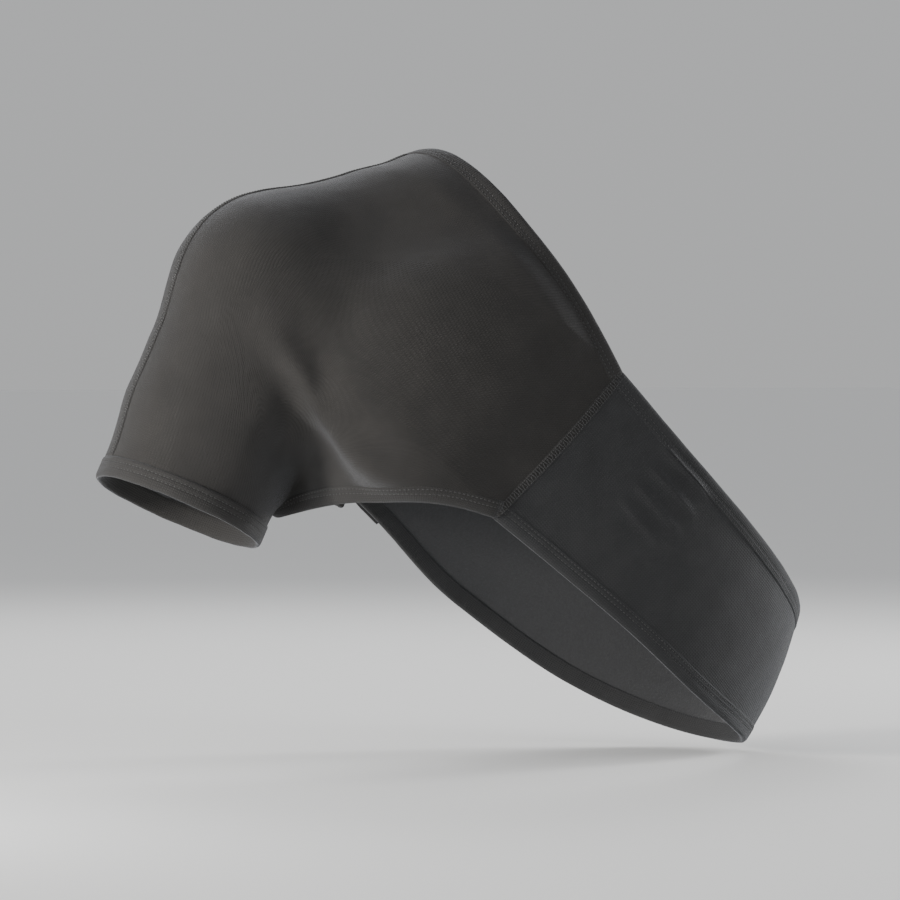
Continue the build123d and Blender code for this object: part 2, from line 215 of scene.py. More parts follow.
# ---- Outlines
def outer_edge(angles):
    angles = (np.asarray(angles, float) + 180.0) % 360.0 - 180.0
    turn = np.abs(angles)
    points = np.zeros((len(angles), 3))
    neck = turn <= NECK_CORNER
    under = turn > STRAP_CORNER
    seam = ~neck & ~under
    points[neck] = curve(NECK_EDGE, turn[neck] / NECK_CORNER)
    points[under] = curve(UNDERARM_EDGE, (turn[under] - STRAP_CORNER) / (180.0 - STRAP_CORNER))
    share = ((turn[seam] - NECK_CORNER) / (STRAP_CORNER - NECK_CORNER))[:, None]
    points[seam] = (1 - share) * np.array(NECK_EDGE[-1]) + share * np.array(UNDERARM_EDGE[0])
    points[:, 1] *= np.where(angles < 0, -1.0, 1.0)
    return points


def meridians(angles, samples=80):
    """Lines over the form from the outer edge, over the armhole, to the cuff."""
    a = np.radians(angles)[:, None]
    cuff = SLEEVE_END * ARM_AXIS + ARM_RADIUS * (np.cos(a) * ARM_ACROSS + np.sin(a) * BACK)
    upright = np.where(np.cos(a) > 0, ARMHOLE_RADII[1], ARMHOLE_RADII[2])
    armhole = ARMHOLE_CENTRE + ARMHOLE_RADII[0] * np.sin(a) * BACK + upright * np.cos(a) * UP
    edge = outer_edge(angles)
    pull = 2.0 * armhole - 0.5 * (cuff + edge)
    t = np.linspace(1.0, 0.0, samples)[None, :, None]
    seeds = (1 - t) ** 2 * cuff[:, None] + 2 * t * (1 - t) * pull[:, None] + t**2 * edge[:, None]
    return settle(seeds)[0]


def turned(angle):
    """How far an angle is from the top, either way round the arm."""
    return abs((angle + 180.0) % 360.0 - 180.0)


def fabric_base(turn, cuff_distance, edge_distance):
    """Height of the outer fabric's underside, which swells over the gel."""
    swell = smoothstep(edge_distance, HEM, HEM + SWELL_RAMP)
    swell = swell * smoothstep(cuff_distance, CUFF_MARGIN, CUFF_MARGIN + SWELL_RAMP)
    return THIN + GEL_SWELL * swell * (1.0 - smoothstep(turn, *SWELL_TURNS))


class Cloth:
    """A grid on the body form: places, normals, height of the outer fabric, and flat coordinates."""

    def __init__(self, points, base):
        self.points, self.normals = settle(points)
        self.base = base
        self.flat = np.stack(grid_lengths(self.points), axis=-1)

    def at(self, height):
        return self.points + self.normals * np.asarray(height)[..., None]


def meridian_cloth(angles, places_on):
    """A grid with a line for each angle, at the distances from the outer edge that places_on gives
    for a line's number and length."""
    rows, base = [], []
    for k, line in enumerate(meridians(angles)):
        at = arc_lengths(line)
        places = places_on(k, at[-1])
        rows.append(resample(line, at, places))
        base.append(fabric_base(turned(angles[k]), at[-1] - places, places))
    return Cloth(np.array(rows), np.array(base))


def shoulder_cloth(angles, columns=96, hem_columns=7):
    """A grid from the outer edge to the cuff, with columns of their own under the hem."""
    hem = np.linspace(0.0, HEM, hem_columns)[:-1]
    return meridian_cloth(angles, lambda k, total: np.concatenate([hem, np.linspace(HEM, total, columns)]))


def patch_cloth(angles, spans, columns):
    """A grid on the shoulder between two distances from its outer edge, given for each angle."""
    return meridian_cloth(angles, lambda k, total: np.linspace(*spans[k], columns))


def strap_rise(shares):
    return smoothstep(shares, STRAP_LIFT_START, 1.0)


def strap_cloth(shares, columns=48):
    upper, lower = curve(mirrored(STRAP_UPPER), shares), curve(mirrored(STRAP_LOWER), shares)
    rise = strap_rise(shares)[:, None]
    across = np.linspace(0.0, 1.0, columns)[None]
    across = STRAP_END_INSET * rise + (1.0 - 2 * STRAP_END_INSET * rise) * across
    points = upper[:, None] * (1 - across[..., None]) + lower[:, None] * across[..., None]
    return Cloth(points, np.repeat(STRAP_LIFT * rise, columns, axis=1))


# ---- Meshes
def put(name, data):
    """A new object in the scene."""
    item = bpy.data.objects.new(name, data)
    bpy.context.scene.collection.objects.link(item)
    return item


def new_object(name, vertices, faces, material, uv, smooth=True):
    """A mesh from points and cloth coordinates in millimetres."""
    mesh = bpy.data.meshes.new(name)
    mesh.from_pydata((vertices * MM).tolist(), [], faces)
    mesh.validate()
    layer = mesh.uv_layers.new(name="cloth")
    index = np.zeros(len(mesh.loops), dtype=np.int64)
    mesh.loops.foreach_get("vertex_index", index)
    layer.data.foreach_set("uv", (uv * MM)[index].ravel().astype(np.float32))
    mesh.polygons.foreach_set("use_smooth", [smooth] * len(mesh.polygons))
    mesh.materials.append(material)
    return put(name, mesh)


def grid_faces(rows, columns, offset=0, flip=False):
    i, j = np.meshgrid(np.arange(rows - 1), np.arange(columns - 1), indexing="ij")
    a = offset + i * columns + j
    quads = np.stack([a, a + 1, a + columns + 1, a + columns], axis=-1).reshape(-1, 4)
    return (quads[:, ::-1] if flip else quads).tolist()


def shell(name, low, high, flat, material, rim=3):
    """A closed sheet between two grids of points, with a rounded rim."""
    rows, columns = low.shape[:2]
    count = rows * columns
    loop = [(i, 0) for i in range(rows)] + [(rows - 1, j) for j in range(1, columns)]
    loop = loop + [(i, columns - 1) for i in range(rows - 2, -1, -1)]
    loop = loop + [(0, j) for j in range(columns - 2, 0, -1)]
    vertices = [high.reshape(-1, 3), low.reshape(-1, 3)]
    uv = [flat.reshape(-1, 2), flat.reshape(-1, 2)]
    faces = grid_faces(rows, columns) + grid_faces(rows, columns, count, flip=True)
    edge = np.array(loop)
    index = edge @ [columns, 1]
    inside = np.clip(edge, 1, [rows - 2, columns - 2])
    outward = high[tuple(edge.T)] - high[tuple(inside.T)]
    outward = outward / np.maximum(length(outward), 1e-6)[:, None]
    top, bottom = high.reshape(-1, 3)[index], low.reshape(-1, 3)[index]
    half = length(top - bottom)[:, None] / 2
    rings = [index]
    for k in range(1, rim + 1):
        turn = math.pi * k / (rim + 1)
        ring = (top + bottom) / 2 + (top - bottom) / 2 * math.cos(turn) + outward * half * math.sin(turn)
        rings.append(np.arange(len(loop)) + sum(len(v) for v in vertices))
        vertices.append(ring)
        uv.append(flat.reshape(-1, 2)[index])
    rings.append(index + count)
    for a, b in zip(rings[:-1], rings[1:]):
        for k in range(len(loop)):
            n = (k + 1) % len(loop)
            faces.append([int(a[k]), int(a[n]), int(b[n]), int(b[k])])
    item = new_object(name, np.concatenate(vertices), faces, material, np.concatenate(uv))
    fix_normals(item)
    return item


def layer(name, cloth, low, high, material, rim=3):
    """A closed sheet between two heights above a cloth's grid."""
    return shell(name, cloth.at(low), cloth.at(high), cloth.flat, material, rim)


def fix_normals(item):
    bpy.context.view_layer.objects.active = item
    item.select_set(True)
    bpy.ops.object.mode_set(mode="EDIT")
    bpy.ops.mesh.select_all(action="SELECT")
    bpy.ops.mesh.normals_make_consistent(inside=False)
    bpy.ops.object.mode_set(mode="OBJECT")
    item.select_set(False)


def line_frames(line, flip=1.0):
    """(points, sideways, normals) along a line on the form."""
    points, normals = settle(line)
    side = flip * unit(np.cross(np.gradient(points, axis=0), normals))
    return points, side, normals


def tube_of(name, grid, material, closed=False):
    """A closed tube through a grid of points: one row a section."""
    count, around = grid.shape[:2]
    faces = []
    for i in range(count if closed else count - 1):
        n = (i + 1) % count
        for k in range(around):
            m = (k + 1) % around
            faces.append([i * around + k, i * around + m, n * around + m, n * around + k])
    if not closed:
        faces.append(list(range(around))[::-1])
        faces.append([(count - 1) * around + k for k in range(around)])
    at = arc_lengths(grid[:, 0])
    girth = arc_lengths(grid[0])
    uv = np.stack(np.broadcast_arrays(at[:, None], girth[None]), axis=-1).reshape(-1, 2)
    item = new_object(name, grid.reshape(-1, 3), faces, material, uv)
    fix_normals(item)
    return item


STITCH = [(-1, 0, 0), (-0.6, 0.7, 0), (-0.6, 0, 0.7), (-0.6, -0.7, 0), (-0.6, 0, -0.7)]
STITCH = STITCH + [(-x, y, z) for x, y, z in STITCH]
STITCH = [(x, y * 1.4, z * 1.4) if abs(x) < 1 else (x, y, z) for x, y, z in STITCH]
STITCH_FACES = [(0, 2, 1), (0, 3, 2), (0, 4, 3), (0, 1, 4), (5, 6, 7), (5, 7, 8), (5, 8, 9), (5, 9, 6)]
STITCH_FACES = STITCH_FACES + [(1, 2, 7, 6), (2, 3, 8, 7), (3, 4, 9, 8), (4, 1, 6, 9)]
COVER_PITCH = 1.7
COVER_HALF_WIDTH = 1.9
COVER_THREAD = 0.32


def stitches(name, starts, ends, up, radius):
    """Short raised threads from each start to each end."""
    middle, half = (starts + ends) / 2, (ends - starts) / 2
    size = length(half)[:, None]
    along = half / size
    across = unit(np.cross(up, along))
    lift = np.cross(along, across)
    shape = np.array(STITCH, float)
    vertices = (
        middle[:, None]
        + along[:, None] * shape[None, :, :1] * size[:, None]
        + across[:, None] * shape[None, :, 1:2] * radius
        + lift[:, None] * shape[None, :, 2:] * radius
    )
    points = len(STITCH)
    faces = [tuple(v + points * k for v in f) for k in range(len(starts)) for f in STITCH_FACES]
    uv = np.repeat(np.arange(len(starts))[:, None] * 3.0, points, axis=0) * np.ones((1, 2))
    return new_object(name, vertices.reshape(-1, 3), faces, seam_thread, uv)


def stitch_line(name, points, normals, pitch, share, radius):
    """A running stitch along a line of points on the cloth."""
    at = arc_lengths(points)
    begin = np.arange(pitch / 2, at[-1] - pitch, pitch)
    starts, ends = resample(points, at, begin), resample(points, at, begin + pitch * share)
    return stitches(name, starts, ends, resample(normals, at, begin), radius)


def cover_stitch(name, points, sideways, normals):
    """A flat seam's cover stitch: two rows of thread with slanted threads between them."""
    at = arc_lengths(points)
    begin = np.arange(1.0, at[-1] - 2.0, COVER_PITCH)
    here = resample(points, at, begin)
    halfway = resample(points, at, begin + 0.5 * COVER_PITCH)
    follow = resample(points, at, begin + 1.3)
    side = resample(sideways, at, begin) * COVER_HALF_WIDTH
    slant = side * np.where(np.arange(len(begin)) % 2 == 0, 1.0, -1.0)[:, None]
    starts = np.concatenate([here + side, here - side, here - slant])
    ends = np.concatenate([follow + side, follow - side, halfway + slant])
    up = np.tile(resample(normals, at, begin), (3, 1))
    return stitches(name, starts, ends, up, COVER_THREAD)


# ---- Materials
class Nodes:
    """A material's node tree, with short calls for the nodes that every fabric uses."""

    def __init__(self, name, **values):
        self.material = bpy.data.materials.new(name)
        self.material.use_nodes = True
        self.tree = self.material.node_tree
        self.shader = self.tree.nodes["Principled BSDF"]
        for key, value in values.items():
            self.shader.inputs[key.replace("_", " ")].default_value = value

    def link(self, value, socket):
        if isinstance(value, bpy.types.NodeSocket):
            self.tree.links.new(value, socket)
        else:
            socket.default_value = value

    def add(self, kind, *inputs, **settings):
        node = self.tree.nodes.new(kind)
        for key, value in settings.items():
            setattr(node, key, value)
        for i, value in enumerate(inputs):
            if value is not None:
                self.link(value, node.inputs[i])
        return node

    def math(self, operation, *inputs):
        return self.add("ShaderNodeMath", *inputs, operation=operation).outputs[0]

    def times(self, a, b):
        return self.math("MULTIPLY", a, b)

    def noise(self, vector, scale, detail=2.0, roughness=0.5):
        node = self.add("ShaderNodeTexNoise", vector)
        node.inputs["Scale"].default_value = scale
        node.inputs["Detail"].default_value = detail
        node.inputs["Roughness"].default_value = roughness
        return node.outputs["Fac"]

    def place(self):
        return self.add("ShaderNodeTexCoord").outputs["Object"]

    def cloth(self):
        """The cloth's own two coordinates, along and across, in metres."""
        split = self.add("ShaderNodeSeparateXYZ", self.add("ShaderNodeUVMap", uv_map="cloth").outputs[0])
        return split.outputs[0], split.outputs[1]

    def ramp(self, value, *stops):
        node = self.add("ShaderNodeValToRGB", value)
        while len(node.color_ramp.elements) < len(stops):
            node.color_ramp.elements.new(0.5)
        for element, (place, color) in zip(node.color_ramp.elements, stops):
            element.position = place
            element.color = (*color, 1.0)
        return node.outputs[0]

    def bump(self, height, strength, distance, normal=None):
        node = self.add("ShaderNodeBump")
        self.link(height, node.inputs["Height"])
        node.inputs["Strength"].default_value = strength
        node.inputs["Distance"].default_value = distance
        if normal is not None:
            self.link(normal, node.inputs["Normal"])
        return node.outputs[0]

    def finished(self, color, normal):
        """The material, with its colour and its relief joined to the shader."""
        self.tree.links.new(color, self.shader.inputs["Base Color"])
        self.tree.links.new(normal, self.shader.inputs["Normal"])
        return self.material


def scaled(color, factor):
    return tuple(c * factor for c in color)


def knit(name, color, wale=0.0017, course=0.0014, painted_loop_shade=0.35, depth=0.0004, mottle=0.3):
    """A jersey knit: columns of V-shaped loops, with painted shade in the valleys between them, uneven dye
    and a soft nap.
    """
    n = Nodes(name, Roughness=0.86, Sheen_Weight=0.16, Sheen_Roughness=0.4)
    n.shader.inputs["Sheen Tint"].default_value = (0.75, 0.78, 0.85, 1.0)
    n.shader.inputs["Specular IOR Level"].default_value = 0.28
    u, v = n.cloth()
    place = n.place()
    drift = n.math("SUBTRACT", n.noise(place, 70.0, 3.0, 0.6), 0.5)
    u = n.math("ADD", u, n.times(drift, 0.0022))
    v = n.math("ADD", v, n.times(drift, -0.0018))
    column = n.math("FRACT", n.math("DIVIDE", u, wale))
    arm = n.math("ABSOLUTE", n.math("SUBTRACT", n.times(column, 2.0), 1.0))
    row = n.math("ADD", n.math("DIVIDE", v, course), n.times(arm, 0.55))
    loop = n.math("ADD", n.times(n.math("SINE", n.times(row, math.tau)), 0.5), 0.5)
    ridge = n.math("SUBTRACT", 1.0, n.math("POWER", arm, 3.0))
    height = n.times(n.math("ADD", n.times(loop, 0.7), 0.3), ridge)
    patchy = n.noise(place, 45.0, 4.0, 0.6)
    yarn = n.noise(place, 900.0, 3.0, 0.65)
    # Colour: the loop height paints shade into the valleys between the loops; the yarn and patchy noises
    # add random tone.
    shade = n.math("ADD", n.times(height, painted_loop_shade), n.times(yarn, 0.35))
    shade = n.math("ADD", shade, n.times(n.math("SUBTRACT", patchy, 0.5), mottle * 2.0))
    coloured = n.ramp(shade, (0.0, scaled(color, 0.62)), (0.45, color), (1.0, scaled(color, 1.55)))
    n.link(n.math("ADD", 0.74, n.times(yarn, 0.2)), n.shader.inputs["Roughness"])
    fine = n.bump(n.math("ADD", height, n.times(yarn, 0.5)), 0.55, depth)
    return n.finished(coloured, n.bump(patchy, 0.25, 0.0012, fine))


def mottled(name, color, noise, shades, relief, **values):
    """An uneven colour and a relief from one noise. noise is its scale and detail, shades are the
    darkest and lightest share of the colour, relief is a bump's strength and distance."""
    n = Nodes(name, **values)
    uneven = n.noise(n.place(), *noise)
    coloured = n.ramp(uneven, (0.2, scaled(color, shades[0])), (0.8, scaled(color, shades[1])))
    return n.finished(coloured, n.bump(uneven, *relief))


def brushed(name, color, scale=700.0):
    """A soft napped cloth, as on a lining or the loop side of a closure."""
    n = Nodes(name, Roughness=0.95, Sheen_Weight=0.4, Sheen_Roughness=0.6)
    n.shader.inputs["Specular IOR Level"].default_value = 0.15
    place = n.place()
    pile = n.noise(place, scale, 5.0, 0.7)
    clumps = n.noise(place, scale / 9.0, 3.0)
    coloured = n.ramp(pile, (0.25, scaled(color, 0.55)), (0.55, color), (0.85, scaled(color, 1.7)))
    return n.finished(coloured, n.bump(clumps, 0.4, 0.0012, n.bump(pile, 0.7, 0.0006)))


def moulded_hooks(name, color):
    """The hook side of the closure: rows of small stiff hooks on a woven ground."""
    pitch = 0.0014
    n = Nodes(name, Roughness=0.5)
    a, b = (n.math("SINE", n.times(x, math.tau / pitch)) for x in n.cloth())
    hooks = n.math("POWER", n.math("MAXIMUM", n.times(a, b), 0.0), 0.6)
    coloured = n.ramp(hooks, (0.0, scaled(color, 0.5)), (1.0, scaled(color, 2.4)))
    return n.finished(coloured, n.bump(hooks, 0.9, 0.0008))


def satin(name, color):
    n = Nodes(name, Roughness=0.38, Sheen_Weight=0.15)
    weave = n.math("SINE", n.times(n.cloth()[1], math.tau / 0.0005))
    wear = n.noise(n.place(), 120.0, 3.0)
    coloured = n.ramp(wear, (0.2, scaled(color, 0.86)), (0.8, color))
    return n.finished(coloured, n.bump(weave, 0.15, 0.0001))


THREAD = {
    "noise": (1600.0, 2.0), "shades": (0.6, 1.3), "relief": (0.4, 0.0002),
    "Roughness": 0.6, "Sheen_Weight": 0.1,
}
GEL = {
    "noise": (90.0, 3.0), "shades": (0.8, 1.15), "relief": (0.2, 0.001),
    "Roughness": 0.18, "IOR": 1.4, "Subsurface_Weight": 0.4,
}
FILM = {
    "noise": (260.0, 4.0), "shades": (0.9, 1.0), "relief": (0.5, 0.0005),
    "Roughness": 0.12, "IOR": 1.5, "Alpha": 0.45,
}
HEM_KNIT = {"wale": 0.0015, "course": 0.0012, "mottle": 0.2}
knit_outer = knit("stretch_knit", (0.0215, 0.0199, 0.0183))
knit_strap = knit("stretch_knit_strap", (0.025, 0.025, 0.0255))
knit_hem = knit("hem_knit", (0.0235, 0.0222, 0.021), **HEM_KNIT)
knit_strap_hem = knit("strap_hem_knit", (0.026, 0.026, 0.0265), **HEM_KNIT)
lining_cloth = brushed("brushed_lining", (0.017, 0.0175, 0.019))
loop_cloth = brushed("loop_tape", (0.012, 0.012, 0.013), 500.0)
hook_plastic = moulded_hooks("hook_tape", (0.009, 0.009, 0.010))
hook_pin = mottled("hook_pin", (0.016, 0.016, 0.018), **THREAD)
seam_thread = mottled("seam_thread", (0.028, 0.0275, 0.027), **THREAD)
label_satin = satin("label_satin", (0.72, 0.72, 0.69))
gel = mottled("blue_gel", (0.02, 0.14, 0.36), **GEL)
film = mottled("clear_film", (0.6, 0.72, 0.8), **FILM)


# ---- Soft shape of the worn fabric (mm)
# Lines on the back of the form, mirrored to the front.
WEB = [(-24, -56, -12), (-14, -63, -32), (-2, -70, -56), (9, -76, -77), (27, -85, -94)]
WEB = WEB + [(58, -94, -104), (88, -100, -110)]
WEB_SHOULDER = [(-6, -66, -8), (4, -72, -28), (15, -78, -50), (27, -85, -68)]
WEB_SHOULDER = WEB_SHOULDER + [(45, -92, -82), (72, -98, -94)]
HOLLOW = [(-20, -60, -36), (-12, -60, -58), (-5, -57, -80), (1, -50, -98), (8, -46, -110)]
STRAP_RIDGES = {  # by height
    2.6: [(190, -112, -78), (210, -109, -98), (229, -104, -116)],
    2.2: [(181, -112, -89), (201, -110, -108), (219, -107, -126)],
    1.8: [(172, -112, -99), (191, -111, -118), (210, -108, -136)],
    1.4: [(164, -112, -108), (182, -111, -127), (200, -108, -144)],
}
FRONT_RIDGES = 0.25  # share of those heights on the front


def to_line(points, line):
    """Distance from each point to a line of points, and how far along that line it is nearest."""
    flat = points.reshape(-1, 3)
    best = np.full(len(flat), 1e9)
    share = np.zeros(len(flat))
    for k in range(len(line) - 1):
        along = line[k + 1] - line[k]
        t = np.clip((flat - line[k]) @ along / (along @ along), 0.0, 1.0)
        d = length(flat - line[k] - t[:, None] * along)
        closer = d < best
        best[closer] = d[closer]
        share[closer] = ((k + t) / (len(line) - 1))[closer]
    return best.reshape(points.shape[:-1]), share.reshape(points.shape[:-1])


def waves(points, size, seed):
    """Smooth uneven relief between about -1 and 1, with hollows of about that size in mm."""
    random = np.random.default_rng(seed)
    total = np.zeros(points.shape[:-1])
    for _ in range(10):
        way = unit(random.normal(size=3)) * math.tau / (size * random.uniform(0.8, 1.6))
        total = total + np.sin(points @ way + random.uniform(0, math.tau))
    return total / 4.0


def bumped(points, line, height, width, fade):
    """A smooth ridge, or with a negative height a hollow, along a line on the form."""
    distance, share = to_line(points, line)
    strength = smoothstep(share, *fade[0]) * (1.0 - smoothstep(share, *fade[1]))
    return height * strength * np.exp(-((distance / width) ** 2))


def on_form(line, count):
    """That line settled on the form, for the back and mirrored for the front."""
    shares = np.linspace(0, 1, count)
    return [settle(curve(np.array(line) * [1.0, m, 1.0], shares))[0] for m in (1.0, -1.0)]


# Each fold: its lines on the back and the front, its heights there, negative for a hollow, its
# width, and the shares of its length over which it grows and fades.
FOLDS = [
    (on_form(WEB, 28), (7.2, 2.6), 10.5, ((-0.08, 0.2), (0.8, 1.3))),
    (on_form(WEB_SHOULDER, 24), (3.6, 1.3), 17.0, ((-0.1, 0.25), (0.75, 1.2))),
    (on_form(HOLLOW, 16), (-2.8, -2.8), 9.0, ((-0.15, 0.3), (1.1, 1.6))),
]
RIDGES = [
    (on_form(line, 12), (high, high * FRONT_RIDGES), 2.7, ((0.0, 0.3), (0.66, 1.0)))
    for high, line in STRAP_RIDGES.items()
]


def folds_at(points, folds):
    total = np.zeros(points.shape[:-1])
    for lines, heights, width, fade in folds:
        for line, height in zip(lines, heights):
            total = total + bumped(points, line, height, width, fade)
    return total


def draped_relief(points):
    """Folds of the shoulder panels: the web behind the armpit, its hollow, and slight unevenness."""
    relief = 0.42 * waves(points, 70.0, 3) + 0.2 * waves(points, 26.0, 4) + 0.05 * waves(points, 9.0, 5)
    relief = relief + folds_at(points, FOLDS)
    low = 1.0 - smoothstep(points[..., 2], -100.0, -70.0)
    between = 1.0 - smoothstep(np.abs(points[..., 1]), 16.0, 44.0)
    return relief * (1.0 - 0.9 * low * between)  # nearly smooth right under the arm


def strap_relief(points):
    """Short slanted wrinkles where the strap leaves the shoulder blade, and slight unevenness."""
    relief = 0.36 * waves(points, 80.0, 7) + 0.14 * waves(points, 24.0, 8) + 0.04 * waves(points, 9.0, 9)
    return relief + folds_at(points, RIDGES)


def panel_lift(base, points):
    """Height of the outer cloth's underside, kept clear of the lining."""
    raised = base + draped_relief(points)
    room = LINING[1] + 0.15
    softness = 0.25
    return room + np.log1p(np.exp((raised - room) / softness)) * softness


def panel_edge(points):
    """Bottom and top of a shoulder panel with its lining, at points where there is no gel."""
    low = panel_lift(np.full(points.shape[:-1], THIN), points)
    return np.zeros(len(low)), low + FABRIC


def dress(piece, body, slot, *nodes):
    """Says what the piece rides on and which nodes it stands for; slot, its finish, is not used."""
    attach(piece, body)
    if nodes:
        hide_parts(*nodes)
    return piece


# ---- Shoulder panels and linings
POCKET_TURNS = (49.5, 104.0)
POCKET_SEAM = 4.0  # from a gel pack's end to the stitches of its pocket


def half_rows(side):
    """Angles from the top to the underarm seam, with rows on both corners of the outer edge."""
    first = np.linspace(0.0, NECK_CORNER, 56)
    seam = np.linspace(NECK_CORNER, STRAP_CORNER, 50)[1:]
    under = np.linspace(STRAP_CORNER, 180.0, 80)[1:]
    return side * np.concatenate([first, seam, under])


def make_panel(side, name):
    cloth = shoulder_cloth(half_rows(side))
    low = panel_lift(cloth.base, cloth.points)
    piece = layer(name + "_knit", cloth, low, low + FABRIC, knit_outer)
    return cloth, dress(piece, "wrap", "outer_knit", name)


def pack_end(total):
    """Distance from the outer edge to a gel pack, on a line of that length."""
    return HEM + 0.1 * (total - 2 * HEM)


def pocket_groove(turn, place, total):
    """0 on a gel pocket's stitched outline and 1 away from it."""
    end = pack_end(total) - POCKET_SEAM
    groove = np.exp(-((place - end) / 2.2) ** 2) + np.exp(-((total - place - end) / 2.2) ** 2)
    for seam in POCKET_TURNS:
        groove = groove + np.exp(-((turn - seam) / 1.3) ** 2)
    return 1.0 - np.clip(groove, 0.0, 1.0)


def make_lining(cloth, side, name):
    place = cloth.flat[..., 1]
    turn = np.abs(half_rows(side))[:, None] + np.zeros_like(place)
    soft = pocket_groove(turn, place, place[:, -1:]) * (1.0 - smoothstep(turn, 100.0, 112.0))
    low = LINING[0] + 0.35 - 0.45 * soft + 0.06 * waves(cloth.points, 22.0, 12)
    high = np.full(low.shape, LINING[1])
    piece = layer(name + "_brushed", cloth, low, high, lining_cloth)
    return dress(piece, "wrap", "lining", name)


back_cloth, back_panel = make_panel(1.0, "back_panel")
front_cloth, front_panel = make_panel(-1.0, "front_panel")
back_lining = make_lining(back_cloth, 1.0, "back_lining")
front_lining = make_lining(front_cloth, -1.0, "front_lining")


# ---- Gel packs
def cell_row(x, count):
    """Height of a row of that many swollen cells, for x from -1 to 1."""
    return np.abs(np.sin(count * math.pi * (x + 1) / 2)) ** 0.35


def make_pack(name, low_angle, high_angle, rows=46, columns=72):
    """A gel core in cells between two films, which the cloth's own shape presses flat."""

    def places_on(_, total):
        return np.linspace(pack_end(total), total - pack_end(total), columns)

    cloth = meridian_cloth(np.linspace(low_angle, high_angle, rows), places_on)
    u, v = np.linspace(-1, 1, rows)[:, None], np.linspace(-1, 1, columns)[None]
    rim = (1.0 - np.abs(u) ** 14) * (1.0 - np.abs(v) ** 18)
    full = np.clip(rim, 0.0, 1.0) ** 0.5 * (0.3 + 0.7 * cell_row(v, 3) * cell_row(u, 2))
    low = np.full(cloth.base.shape, LINING[1] + 0.65)
    room = panel_lift(cloth.base, cloth.points) - 0.7 - low
    high = low + np.maximum(room, 0.3) * (0.25 + 0.72 * full)
    core = layer(name + "_gel", cloth, low, high, gel)
    outer = layer(name + "_film_outside", cloth, high + 0.05, high + 0.3, film)
    inner = layer(name + "_film_inside", cloth, low - 0.3, low - 0.05, film)
    dress(core, "wrap", "gel", name + "_core")
    dress(outer, "wrap", "film", name + "_film_outer")
    dress(inner, "wrap", "film", name + "_film_inner")


make_pack("shoulder_gel", -44.1, 44.1)
make_pack("scapula_gel", 55.0, 100.0)
make_pack("chest_gel", -100.0, -55.0)

# ---- Folded hems
# The section all the way round: distance in from the edge, share of the cloth's height, lift.
FOLDED = [
    (10.0, 1, -0.05), (9.95, 1, 0.2), (9.6, 1, 0.4), (8.9, 1, 0.52), (8.6, 1, 0.42), (8.3, 1, 0.34),
    (8.0, 1, 0.42), (7.4, 1, 0.58), (6.4, 1, 0.6), (5.9, 1, 0.46), (5.6, 1, 0.38), (5.3, 1, 0.46),
    (4.6, 1, 0.62), (3.0, 1, 0.64), (1.6, 1, 0.56), (0.7, 1, 0.36), (0.05, 1, 0.0), (-0.45, 0.82, 0.0),
    (-0.7, 0.6, 0.0), (-0.72, 0.4, 0.05), (-0.45, 0.16, 0.1), (0.1, 0, 0.2), (1.2, 0, 0.08),
    (4.5, 0, 0.06), (9.2, 0, 0.08), (9.8, 0, 0.2), (9.7, 0, 0.42), (4.5, 0, 0.45), (0.5, 0, 0.5),
    (0.3, 0.5, 0.0), (0.5, 1, -0.06), (5.0, 1, -0.06), (9.7, 1, -0.08),
]
STITCH_INSETS = {"a": 8.3, "b": 5.6}
HEM_STITCH = {"pitch": 2.6, "share": 0.62, "radius": 0.26}


def reaching(line, before, after):
    """A line made longer at its ends, along its own direction there."""
    first = line[0] + unit(line[0] - line[1]) * before
    last = line[-1] + unit(line[-1] - line[-2]) * after
    return np.concatenate([[first], line[1:-1], [last]])


def make_hem(name, line, heights, material, flip=1.0):
    """A folded hem with its two rows of stitches. heights gives the underside and the top of the
    cloth at points on the form."""
    edge, side, _ = line_frames(line, flip)
    loops = []
    for inset, share, lift in FOLDED:
        p, n = settle(edge + side * inset, 10)
        low, high = heights(p)
        loops.append(p + n * (low + share * (high - low) + lift)[:, None])
    band = tube_of(name + "_hem", np.stack(loops, axis=1), material)
    pieces = [dress(band, "wrap", "binding", name + "_binding")]
    for letter, inset in STITCH_INSETS.items():
        p, n = settle(edge + side * inset, 10)
        top = heights(p)[1] + 0.46
        row = stitch_line(f"{name}_stitch_{letter}", p + n * top[:, None], n, **HEM_STITCH)
        pieces.append(dress(row, "wrap", "binding"))
    return pieces


def make_panel_hem(name, start, end, count, before, after):
    line = reaching(outer_edge(np.linspace(start, end, count)), before, after)
    make_hem(name, line, panel_edge, knit_hem)


make_panel_hem("neck", -NECK_CORNER, NECK_CORNER, 150, 0.6, 3.0)
make_panel_hem("underarm", STRAP_CORNER, 360.0 - STRAP_CORNER, 190, 3.0, 0.6)
make_panel_hem("front_end", -STRAP_CORNER, -NECK_CORNER, 70, 0.6, 0.6)

# ---- Strap
STRAP_LAST = 0.985  # share of its length where the tab takes over
strap_shares = np.linspace(0.0, STRAP_LAST, 300)
strap_grid = strap_cloth(strap_shares, 56)


def make_strap(cloth):
    relief = strap_relief(cloth.points)
    low, high = (cloth.base + h + relief for h in STRAP_FABRIC)
    low = np.maximum(low, cloth.base + LINING[1] + 0.1)
    outer = layer("strap_knit", cloth, low, high, knit_strap)
    low = cloth.base + LINING[0] + 0.06 * waves(cloth.points, 22.0, 13)
    high = cloth.base + LINING[1]
    inner = layer("strap_brushed", cloth, low, high, lining_cloth)
    dress(outer, "wrap", "outer_knit", "strap_outer")
    dress(inner, "wrap", "lining", "strap_lining")
    return outer, inner


def strap_edge(points):
    """Bottom and top of the strap at points along it, in the order of strap_shares."""
    lift = STRAP_LIFT * strap_rise(strap_shares)
    return lift, lift + STRAP_FABRIC[1] + strap_relief(points)


